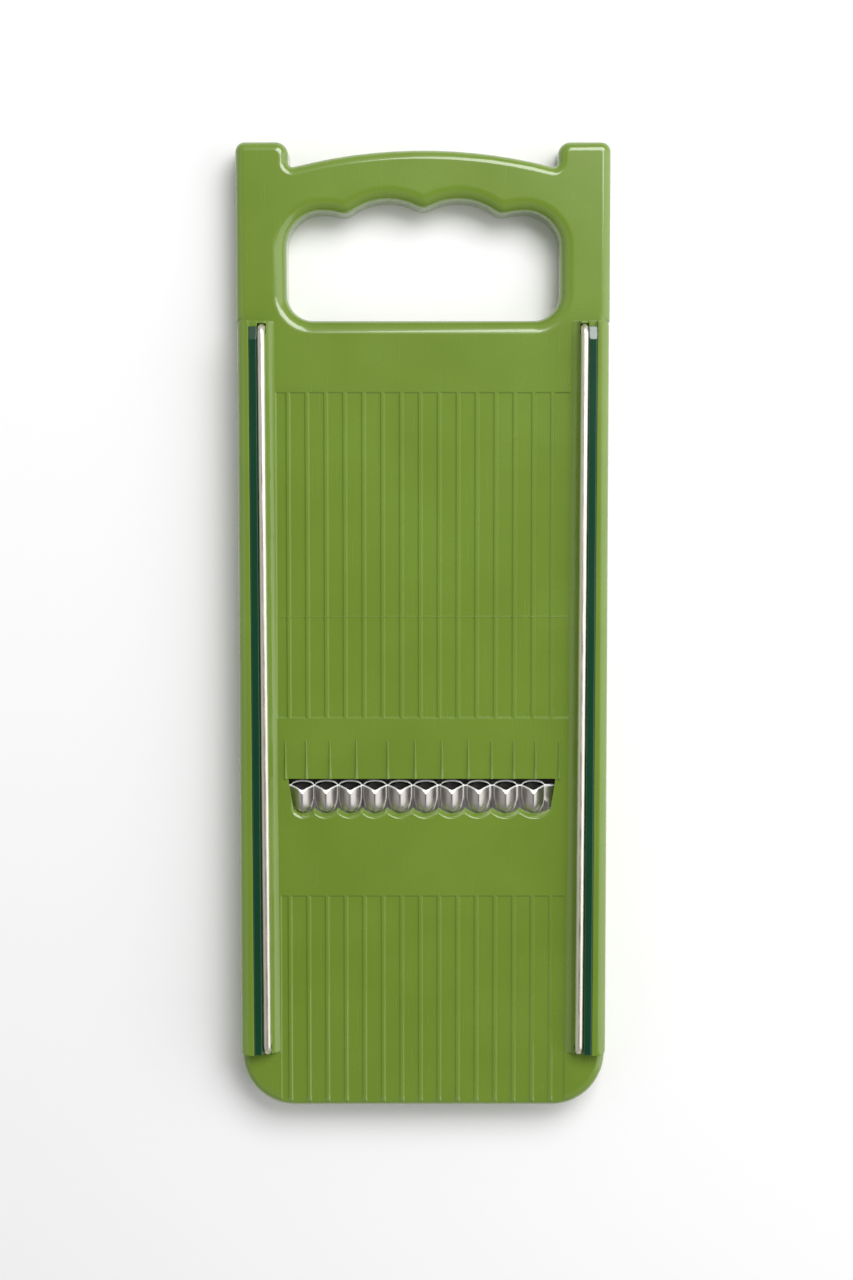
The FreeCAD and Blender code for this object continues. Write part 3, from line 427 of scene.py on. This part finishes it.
def finish_material(name):
    """The material with this name, made the first time it is asked for."""
    found = bpy.data.materials.get(f"finish_{name}")
    if found is not None:
        return found
    colours = bpy.context.scene.slicer_colours
    title = f"finish_{name}"
    if name == "green_plastic":
        return make_plastic(title, colours.plastic, colours.plastic_edge_highlight, 0.26, 0.7)
    if name == "dark_green_plastic":
        # Painted highlight: the inlay's edges are mixed towards a colour three times lighter than the inlay.
        return make_plastic(title, colours.inlay, shaded(colours.inlay, 3.0), 0.22, 0.6)
    if name == "wire_steel":
        return make_steel(title, colours.wire, 0.42, 0.0000012, 2600.0)
    if name == "tooth_steel":
        return make_steel(title, colours.tooth, 0.33, 0.000002, 2400.0)
    # Partly painted highlight: the ground steel is near-white and only part metallic, so its edges show a
    # glint under any lamp.
    if name == "ground_edge":
        return make_steel(title, colours.ground, 0.45, 0.000002, 4000.0, metallic=0.3)
    # Painted shade: the trough steel is darkened to show the shade inside the troughs.
    if name == "trough_steel":
        return make_steel(title, colours.trough, 0.40, 0.000002, 2400.0)
    if name == "screw_steel":
        return make_steel(title, colours.screw, 0.32, 0.000002, 2000.0)
    raise RuntimeError(f"there is no finish called {name}")


# ---------------------------------------------------------------- helpers for pieces


def new_piece(name, vertices, faces, materials, smooth_angle=40.0):
    """A mesh object that shades smoothly, except over edges sharper than the angle."""
    mesh = bpy.data.meshes.new(name)
    mesh.from_pydata(vertices, [], faces)
    mesh.validate()
    mesh.shade_smooth()
    mesh.set_sharp_from_angle(angle=math.radians(smooth_angle))
    piece = bpy.data.objects.new(name, mesh)
    bpy.context.scene.collection.objects.link(piece)
    for material in materials:
        mesh.materials.append(finish_material(material))
    return piece


def dress_node(name, material):
    """Keep a node of the frame as it is, smooth its shading and give it a finish."""
    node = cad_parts[name]
    node.data.materials.clear()
    node.data.materials.append(finish_material(material))
    weld = node.modifiers.new("weld", "WELD")
    weld.merge_threshold = 1e-6
    even = node.modifiers.new("even_normals", "WEIGHTED_NORMAL")
    even.keep_sharp = True
    even.weight = 100
    return node


def replace_node(piece, node):
    """Let a piece stand for a node of the frame."""
    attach(piece, "root")
    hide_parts(node)


# ---------------------------------------------------------------- guide wires


def wire_path(box, side, radius, bend):
    """Points and upward directions along a guide wire, from its head leg to its foot leg."""
    low, high = box
    top = high.z - radius
    ends = [low.x + radius, high.x - radius]
    foot_x, head_x = ends if side > 0 else reversed(ends)
    head_y = high.y - radius
    foot_y = low.y + radius
    steps = 8
    path = [(head_y, low.z, 1.0, 0.0)]
    for step in range(steps + 1):
        turn = math.pi / 2 * step / steps
        out, up = math.cos(turn), math.sin(turn)
        path.append((head_y - bend + bend * out, top - bend + bend * up, out, up))
    for step in range(steps + 1):
        turn = math.pi / 2 * (1 - step / steps)
        out, up = math.cos(turn), math.sin(turn)
        path.append((foot_y + bend - bend * out, top - bend + bend * up, -out, up))
    path.append((foot_y, low.z, -1.0, 0.0))
    points = []
    for y, z, normal_y, normal_z in path:
        share = (head_y - y) / (head_y - foot_y)
        x = head_x + (foot_x - head_x) * share
        points.append((Vector((x, y, z)), Vector((0.0, normal_y, normal_z))))
    return points


def sweep_round(points, radius, sides=24):
    """Vertices and faces of a round bar along the points, closed at both ends."""
    vertices = []
    for centre, upward in points:
        for side in range(sides):
            turn = 2 * math.pi * side / sides
            across = Vector((radius * math.cos(turn), 0.0, 0.0))
            vertices.append(centre + across + upward * (radius * math.sin(turn)))
    faces = []
    for ring in range(len(points) - 1):
        first, second = ring * sides, (ring + 1) * sides
        for side in range(sides):
            after = (side + 1) % sides
            faces.append((first + side, first + after, second + after, second + side))
    last = (len(points) - 1) * sides
    faces.append(tuple(reversed(range(sides))))
    faces.append(tuple(range(last, last + sides)))
    return vertices, faces


class SLICER_OT_lay_guide_wires(Operator):
    """Lay the two steel guide wires along the rails, ends bent down into their pits"""

    bl_idname = "slicer.lay_guide_wires"
    bl_label = "Guide wires"

    def execute(self, context):
        sizes = context.scene.slicer_sizes
        radius = sizes.wire_diameter / 2
        for hand, side in HANDS.items():
            node = f"{hand}_guide_wire"
            points = wire_path(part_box(node), side, radius, sizes.wire_bend)
            vertices, faces = sweep_round(points, radius)
            piece = new_piece(f"{hand}_guide_rod", vertices, faces, ["wire_steel"])
            replace_node(piece, node)
        return {"FINISHED"}


# ---------------------------------------------------------------- board, inlays, clamp


class SLICER_OT_dress_board(Operator):
    """Give the moulded board its glossy green finish"""

    bl_idname = "slicer.dress_board"
    bl_label = "Board"

    def execute(self, context):
        dress_node("board", "green_plastic")
        return {"FINISHED"}


class SLICER_OT_fit_inlays(Operator):
    """Give the two rail inlays their dark glossy finish"""

    bl_idname = "slicer.fit_inlays"
    bl_label = "Rail inlays"

    def execute(self, context):
        for hand in HANDS:
            dress_node(f"{hand}_rail_inlay", "dark_green_plastic")
        return {"FINISHED"}


class SLICER_OT_fit_clamp(Operator):
    """Finish the clamp bar and its four screws below the teeth"""

    bl_idname = "slicer.fit_clamp"
    bl_label = "Clamp bar and screws"

    def execute(self, context):
        dress_node("blade_clamp_bar", "green_plastic")
        dress_node("clamp_screws", "screw_steel")
        return {"FINISHED"}


# ---------------------------------------------------------------- tooth strips


def tooth_places(sizes):
    """The middles of the teeth: the row is a little tighter at its left end."""
    last = (sizes.tooth_count - 1) / 2
    places = []
    for tooth in range(sizes.tooth_count):
        step = tooth - last
        bow = sizes.row_bow * (1 - (step / last) ** 2)
        places.append(sizes.row_middle + sizes.tooth_pitch * step - bow)
    return places


def nearest_tooth(x, places):
    return min(places, key=lambda place: abs(x - place))


def taper(behind, sizes):
    """How a tooth narrows towards its closed end: 1 at the mouth, then a blunt oval."""
    share = behind / sizes.tooth_length
    past = max(0.0, (share - sizes.tooth_straight) / (1 - sizes.tooth_straight))
    return max(0.0, 1.0 - past ** sizes.end_roundness) ** (1 / sizes.end_roundness)


def arch_height(x, y, tooth, height, sizes):
    """How high a tooth's pressed arch stands at (x, y), before its tip is ground."""
    narrowed = taper(max(0.0, sizes.mouth_place - y), sizes)
    half = sizes.tooth_half_width * narrowed
    if half < 1e-6 or abs(x - tooth) >= half:
        return 0.0
    return height * narrowed * (1.0 - (abs(x - tooth) / half) ** sizes.flank_power)


def ground_height(y, height, sizes):
    """The level of the facet that is ground at a tooth's tip, and rises backwards."""
    tip = sizes.mouth_place - height * math.tan(sizes.mouth_lean)
    return height - sizes.ground_depth + sizes.ground_slope * (tip - y)


def strip_columns(places, half_strip, half_tooth):
    """Column places across a strip: fine over the teeth, with a column at each foot and crest."""
    steps = 16  # columns on each side of a tooth
    columns = [-half_strip]
    for number, place in enumerate(places):
        if number:
            columns.append((places[number - 1] + place) / 2)
        columns += [place + half_tooth * step / steps for step in range(-steps, steps + 1)]
    return columns + [half_strip]


def strip_rows(sizes, depth):
    """Shares of the way back from the front edge: a ground edge first, then ever wider rows."""
    first = sizes.ground_edge / depth
    rows = [0.0, first]
    count = 26
    for step in range(1, count + 1):
        rows.append(first + (sizes.tooth_length * 1.05 / depth - first) * step / count)
    return rows + [0.85, 1.0]


def sheet_grid(columns, rows, front, back, height_at):
    """A height-field sheet. front(x) and back give each column's ends and height_at(x, y) its level."""
    vertices = []
    for x in columns:
        start = front(x)
        for row in rows:
            y = start + (back - start) * row
            vertices.append((x, y, height_at(x, y)))
    count = len(rows)
    faces = []
    for column in range(len(columns) - 1):
        for row in range(count - 1):
            corner = column * count + row
            faces.append((corner, corner + 1, corner + count + 1, corner + count))
    return vertices, faces


def thicken_sheet(piece, gauge, row_count, is_ground=None):
    """Give a sheet its gauge below the drawn face, and the near-white ground-edge finish, partly a painted
    glint, at its front edge and ground tips.
    """
    for polygon in piece.data.polygons:
        at_edge = polygon.index % (row_count - 1) == 0
        bright = at_edge or (is_ground is not None and is_ground(polygon.center))
        polygon.material_index = 1 if bright else 0
    thick = piece.modifiers.new("gauge", "SOLIDIFY")
    thick.thickness = gauge
    thick.offset = -1.0
    thick.use_even_offset = False
    thick.material_offset_rim = 1


class SLICER_OT_press_teeth(Operator):
    """Press the upper strip: ten gabled teeth with leaning mouths and ground tips"""

    bl_idname = "slicer.press_teeth"
    bl_label = "Upper tooth strip"

    def execute(self, context):
        sizes = context.scene.slicer_sizes
        low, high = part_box("upper_tooth_strip")
        level = low.z + sizes.steel_gauge
        height = high.z - level
        places = tooth_places(sizes)
        reach = height * math.tan(sizes.mouth_lean)

        def front(x):
            share = abs(x - nearest_tooth(x, places)) / (sizes.tooth_pitch / 2)
            return sizes.mouth_place - reach * max(0.0, 1.0 - share)

        def height_at(x, y):
            arch = arch_height(x, y, nearest_tooth(x, places), height, sizes)
            return level + min(arch, ground_height(y, height, sizes))

        def is_ground(spot):
            tooth = nearest_tooth(spot.x, places)
            return arch_height(spot.x, spot.y, tooth, height, sizes) > ground_height(spot.y, height, sizes)

        columns = strip_columns(places, high.x, sizes.tooth_half_width)
        rows = strip_rows(sizes, sizes.mouth_place - low.y)
        vertices, faces = sheet_grid(columns, rows, front, low.y, height_at)
        piece = new_piece("pressed_teeth", vertices, faces, ["tooth_steel", "ground_edge"], 50.0)
        thicken_sheet(piece, sizes.steel_gauge, len(rows), is_ground)
        replace_node(piece, "upper_tooth_strip")
        return {"FINISHED"}


class SLICER_OT_press_lips(Operator):
    """Press the lower strip: a row of shallow troughs whose lips reach out below the mouths"""

    bl_idname = "slicer.press_lips"
    bl_label = "Lower lip strip"

    def execute(self, context):
        sizes = context.scene.slicer_sizes
        low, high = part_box("lower_tooth_strip")
        level = high.z
        places = tooth_places(sizes)

        def trough(x):
            share = (x - nearest_tooth(x, places)) / sizes.tooth_half_width
            return math.sqrt(max(0.0, 1.0 - share * share))

        def front(x):
            return sizes.mouth_place + sizes.lip_reach * trough(x)

        def height_at(x, y):
            behind = front(x) - y - sizes.ground_edge
            share = min(1.0, max(0.0, behind / sizes.lip_ramp))
            return level - sizes.lip_depth * trough(x) * share

        columns = strip_columns(places, high.x, sizes.tooth_half_width)
        back = sizes.mouth_place - (sizes.tooth_length * 0.4)
        first = sizes.ground_edge / (sizes.mouth_place - back)
        # The first row gets the ground-edge finish, whose near-white colour is partly a painted glint.
        rows = [0.0, first, 2 * first, 3 * first, 0.6, 1.0]
        vertices, faces = sheet_grid(columns, rows, front, back, height_at)
        # Painted shade: the troughs get the darkened trough steel.
        piece = new_piece("pressed_lips", vertices, faces, ["trough_steel", "ground_edge"], 50.0)
        thicken_sheet(piece, sizes.steel_gauge, len(rows))
        replace_node(piece, "lower_tooth_strip")
        return {"FINISHED"}


# ---------------------------------------------------------------- studio


def add_area_lamp(name, offset, aim, size, energy):
    """A square lamp at an offset from the point that it shines at."""
    lamp = bpy.data.lights.new(name, "AREA")
    lamp.size = size
    lamp.energy = energy
    holder = bpy.data.objects.new(name, lamp)
    holder.location = aim + Vector(offset)
    holder.rotation_euler = (-Vector(offset)).to_track_quat("-Z", "Y").to_euler()
    bpy.context.scene.collection.objects.link(holder)
    return holder


def add_floor(studio):
    """A pale square under the slicer."""
    half = studio.floor_size / 2
    ground = cad_box[0].z
    corners = [(-half, -half, ground), (half, -half, ground), (half, half, ground), (-half, half, ground)]
    mesh = bpy.data.meshes.new("studio_floor")
    mesh.from_pydata(corners, [], [(0, 1, 2, 3)])
    mesh.materials.append(make_floor_material(bpy.context.scene.slicer_colours.floor))
    floor = bpy.data.objects.new("studio_floor", mesh)
    bpy.context.scene.collection.objects.link(floor)


def add_camera(studio, aim):
    camera = bpy.data.cameras.new("studio_camera")
    camera.sensor_fit = "VERTICAL"
    camera.sensor_height = studio.sensor
    camera.lens = studio.lens
    camera.clip_start = 0.01
    tilt = studio.camera_tilt
    holder = bpy.data.objects.new("studio_camera", camera)
    holder.location = aim + Vector((0.0, math.sin(tilt), math.cos(tilt))) * studio.camera_distance
    holder.rotation_euler = (-tilt, 0.0, 0.0)
    bpy.context.scene.collection.objects.link(holder)
    bpy.context.scene.camera = holder


def add_card(studio):
    """A dark card high above, seen only in reflections, that gives the steel its dark streaks."""
    half = studio.card_size / 2
    height = studio.card_height
    corners = [(-half, -half, height), (half, -half, height), (half, half, height), (-half, half, height)]
    mesh = bpy.data.meshes.new("studio_card")
    mesh.from_pydata(corners, [], [(0, 1, 2, 3)])
    material, tree, shader = new_material("studio_card")
    shader.inputs["Base Color"].default_value = (0.01, 0.01, 0.01, 1.0)
    shader.inputs["Roughness"].default_value = 1.0
    mesh.materials.append(material)
    card = bpy.data.objects.new("studio_card", mesh)
    card.visible_camera = False
    card.visible_diffuse = False
    card.visible_shadow = False
    bpy.context.scene.collection.objects.link(card)


def add_surroundings(brightness):
    """White surroundings of even brightness."""
    world = bpy.data.worlds.new("studio_world")
    world.use_nodes = True
    background = world.node_tree.nodes["Background"]
    background.inputs["Color"].default_value = (1.0, 1.0, 1.0, 1.0)
    background.inputs["Strength"].default_value = brightness
    bpy.context.scene.world = world


class SLICER_OT_light_studio(Operator):
    """Add the pale floor, the soft lamps and the camera above the slicer"""

    bl_idname = "slicer.light_studio"
    bl_label = "Studio"

    def execute(self, context):
        studio = context.scene.slicer_studio
        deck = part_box("upper_tooth_strip")[1].z
        aim = Vector((studio.camera_aim_x, studio.camera_aim_y, deck))
        add_floor(studio)
        add_card(studio)
        add_surroundings(studio.sky)
        centre = (cad_box[0] + cad_box[1]) / 2
        add_area_lamp("key_lamp", studio.key_place, centre, studio.key_size, studio.key_power)
        add_area_lamp("left_lamp", studio.left_place, centre, studio.fill_size, studio.left_power)
        add_area_lamp("right_lamp", studio.right_place, centre, studio.fill_size, studio.right_power)
        add_camera(studio, aim)
        context.scene.view_settings.view_transform = "Standard"
        return {"FINISHED"}


# ---------------------------------------------------------------- panel and registration

PIECE_OPERATORS = (
    SLICER_OT_dress_board,
    SLICER_OT_fit_inlays,
    SLICER_OT_lay_guide_wires,
    SLICER_OT_press_teeth,
    SLICER_OT_press_lips,
    SLICER_OT_fit_clamp,
    SLICER_OT_light_studio,
)


class SLICER_PT_pieces(Panel):
    """The slicer's pieces, in the order that they are made"""

    bl_label = "Mandoline slicer"
    bl_idname = "SLICER_PT_pieces"
    bl_space_type = "VIEW_3D"
    bl_region_type = "UI"
    bl_category = "Slicer"

    def draw(self, context):
        column = self.layout.column()
        for operator in PIECE_OPERATORS:
            column.operator(operator.bl_idname)
        for group in (context.scene.slicer_sizes, context.scene.slicer_colours, context.scene.slicer_studio):
            box = self.layout.box()
            for name in group.bl_rna.properties.keys():
                if name not in ("rna_type", "name"):
                    box.prop(group, name)


SETTINGS = {"slicer_sizes": SlicerSizes, "slicer_colours": SlicerColours, "slicer_studio": SlicerStudio}


def register():
    for group in SETTINGS.values():
        bpy.utils.register_class(group)
    for name, group in SETTINGS.items():
        setattr(bpy.types.Scene, name, PointerProperty(type=group))
    for operator in PIECE_OPERATORS:
        bpy.utils.register_class(operator)
    bpy.utils.register_class(SLICER_PT_pieces)


def unregister():
    bpy.utils.unregister_class(SLICER_PT_pieces)
    for operator in reversed(PIECE_OPERATORS):
        bpy.utils.unregister_class(operator)
    for name, group in reversed(SETTINGS.items()):
        delattr(bpy.types.Scene, name)
        bpy.utils.unregister_class(group)


def main():
    register()
    bpy.ops.slicer.dress_board()
    bpy.ops.slicer.fit_inlays()
    bpy.ops.slicer.lay_guide_wires()
    bpy.ops.slicer.press_teeth()
    bpy.ops.slicer.press_lips()
    bpy.ops.slicer.fit_clamp()
    bpy.ops.slicer.light_studio()


if __name__ == "__main__":
    main()
